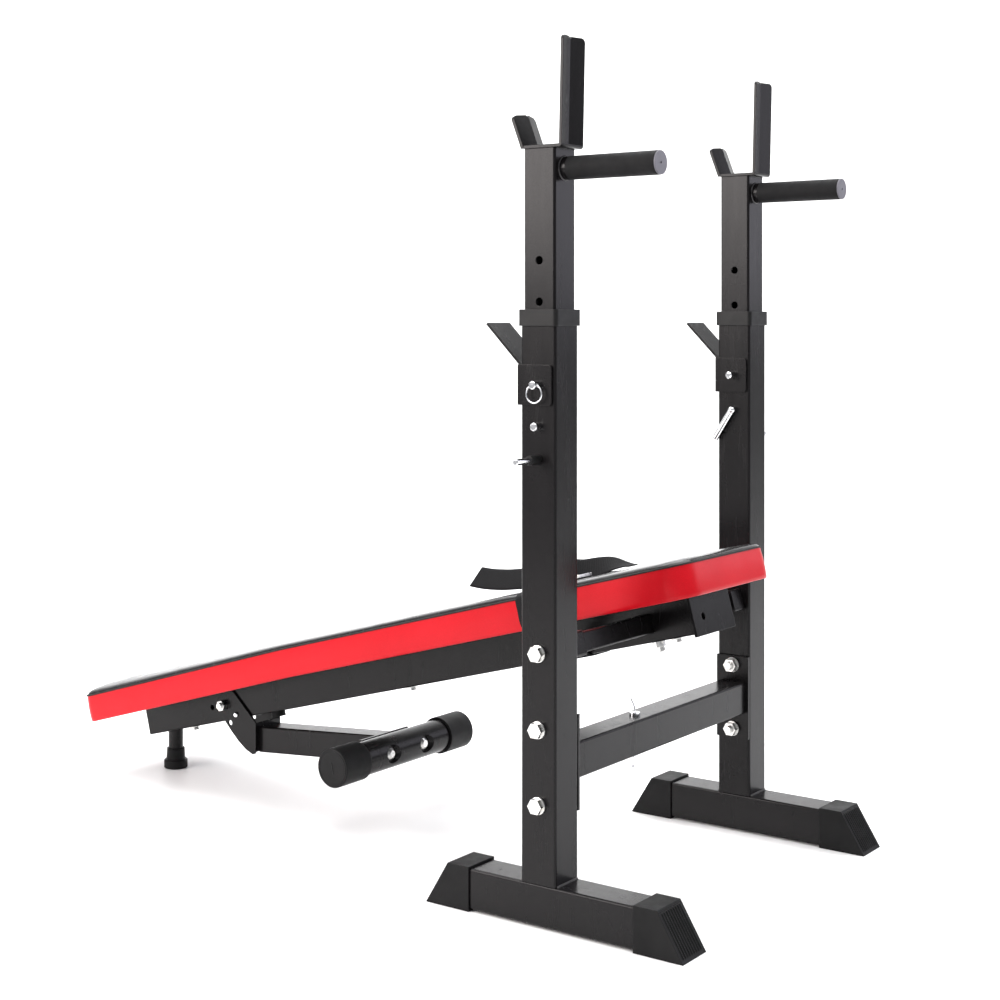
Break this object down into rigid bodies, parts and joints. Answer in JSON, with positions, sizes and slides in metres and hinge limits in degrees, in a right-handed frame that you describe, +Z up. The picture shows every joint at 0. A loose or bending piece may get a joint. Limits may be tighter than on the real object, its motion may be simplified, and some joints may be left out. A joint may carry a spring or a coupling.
{
  "type": "decline sit up bench",
  "caption": "Adjustable sloping bench joined to a pair of height-adjustable rack uprights with bar hooks, safety catches and dip handles.",
  "frame": {"origin": "centre of the overall box in plan, on the floor", "axes": "+X along the bench towards its raised end and the uprights, +Y across towards the left upright, +Z up"},
  "size_m": [1.1942, 0.65, 1.0721],
  "materials": {
    "frame": "semi-gloss black powder coat",
    "zinc": "bright zinc plate",
    "chrome": "polished chrome plate",
    "rubber": "matte black rubber",
    "plastic": "matte black plastic",
    "plug": "dark gray plastic",
    "board": "board with stapled black backing cloth",
    "cover": "red and black synthetic leather over foam",
    "webbing": "woven black webbing",
    "buckle": "zinc-plated wire"
  },
  "bodies": {
    "rack": {"foot_tube_right": "frame", "foot_tube_left": "frame", "foot_caps_right": "rubber", "foot_caps_left": "rubber", "post_right": "frame", "post_left": "frame", "weld_beads": "frame", "collar_right": "plastic", "collar_left": "plastic", "crossbar": "frame", "crossbar_plates": "frame", "rack_bolts": "zinc", "washers": "zinc", "rack_nuts": "zinc", "pivot_bolts": "zinc", "plunger_barrels": "plastic", "catch_right": "frame", "catch_left": "frame"},
    "post_tube_right": {"inner_post_right": "frame", "hook_right": "frame", "handle_tube_right": "frame", "grip_right": "rubber", "grip_plug_right": "plug"},
    "post_tube_left": {"inner_post_left": "frame", "hook_left": "frame", "handle_tube_left": "frame", "grip_left": "rubber", "grip_plug_left": "plug"},
    "hitch_right": {"hitch_pin_right": "chrome"},
    "hitch_left": {"hitch_pin_left": "chrome"},
    "pull_ring_right": {"ring_right": "chrome"},
    "pull_ring_left": {"ring_left": "chrome"},
    "lock_right": {"lock_pin_right": "chrome"},
    "lock_left": {"lock_pin_left": "chrome"},
    "plunger_right": {"plunger_pin_right": "chrome"},
    "plunger_left": {"plunger_pin_left": "chrome"},
    "bar_pin": {"crossbar_pin": "chrome"},
    "bench": {"spine": "frame", "spine_plug": "plastic", "end_plate": "frame", "cross_tube": "frame", "cross_sleeves": "frame", "cross_plugs": "zinc", "cross_bolt": "zinc", "short_leg": "frame", "rubber_foot": "rubber", "pad_board": "board", "pad_cushion": "cover", "pad_bolts": "zinc", "strap": "webbing", "strap_buckle": "buckle", "leg_bumper": "rubber", "leg_bolt": "zinc"},
    "leg": {"leg_bracket": "frame", "leg_tube": "frame", "index_pins": "chrome", "foot_bar": "frame", "foot_bar_caps": "rubber", "foot_bar_bolts": "zinc"}
  },
  "joints": [
    {"name": "upright_height_right", "type": "slide", "parent": "rack", "child": "post_tube_right", "axis": [0, 0, 1], "range_m": [-0.08, 0.15]},
    {"name": "hitch_pin_right_out", "type": "slide", "parent": "rack", "child": "hitch_right", "axis": [0, -1, 0], "range_m": [0, 0.08]},
    {"name": "ring_right_swing", "type": "hinge", "parent": "hitch_right", "child": "pull_ring_right", "pos_m": [0.39815, -0.285, 0.653], "axis": [-1, 0, 0], "range_deg": [-10, 90]},
    {"name": "lock_pin_right_in", "type": "slide", "parent": "rack", "child": "lock_right", "axis": [0, 1, 0], "range_m": [0, 0.07]},
    {"name": "plunger_right_pull", "type": "slide", "parent": "rack", "child": "plunger_right", "axis": [0, -1, 0], "range_m": [0, 0.012], "stiffness_N_per_m": 400, "springref_m": -0.005},
    {"name": "upright_height_left", "type": "slide", "parent": "rack", "child": "post_tube_left", "axis": [0, 0, 1], "range_m": [-0.08, 0.15]},
    {"name": "hitch_pin_left_out", "type": "slide", "parent": "rack", "child": "hitch_left", "axis": [0, 1, 0], "range_m": [0, 0.08]},
    {"name": "ring_left_swing", "type": "hinge", "parent": "hitch_left", "child": "pull_ring_left", "pos_m": [0.39815, 0.285, 0.653], "axis": [1, 0, 0], "range_deg": [-10, 90]},
    {"name": "lock_pin_left_in", "type": "slide", "parent": "rack", "child": "lock_left", "axis": [0, -1, 0], "range_m": [0, 0.07]},
    {"name": "plunger_left_pull", "type": "slide", "parent": "rack", "child": "plunger_left", "axis": [0, 1, 0], "range_m": [0, 0.012], "stiffness_N_per_m": 400, "springref_m": -0.005},
    {"name": "crossbar_pin_lift", "type": "slide", "parent": "rack", "child": "bar_pin", "axis": [0, 0, 1], "range_m": [0, 0.07]},
    {"name": "bench_tilt", "type": "hinge", "parent": "rack", "child": "bench", "pos_m": [0.39815, 0, 0.33], "axis": [0, 1, 0], "range_deg": [0, 15.1]},
    {"name": "leg_fold", "type": "hinge", "parent": "bench", "child": "leg", "pos_m": [-0.36554, 0, 0.12394], "axis": [0, 1, 0], "range_deg": [0, 103]}
  ]
}
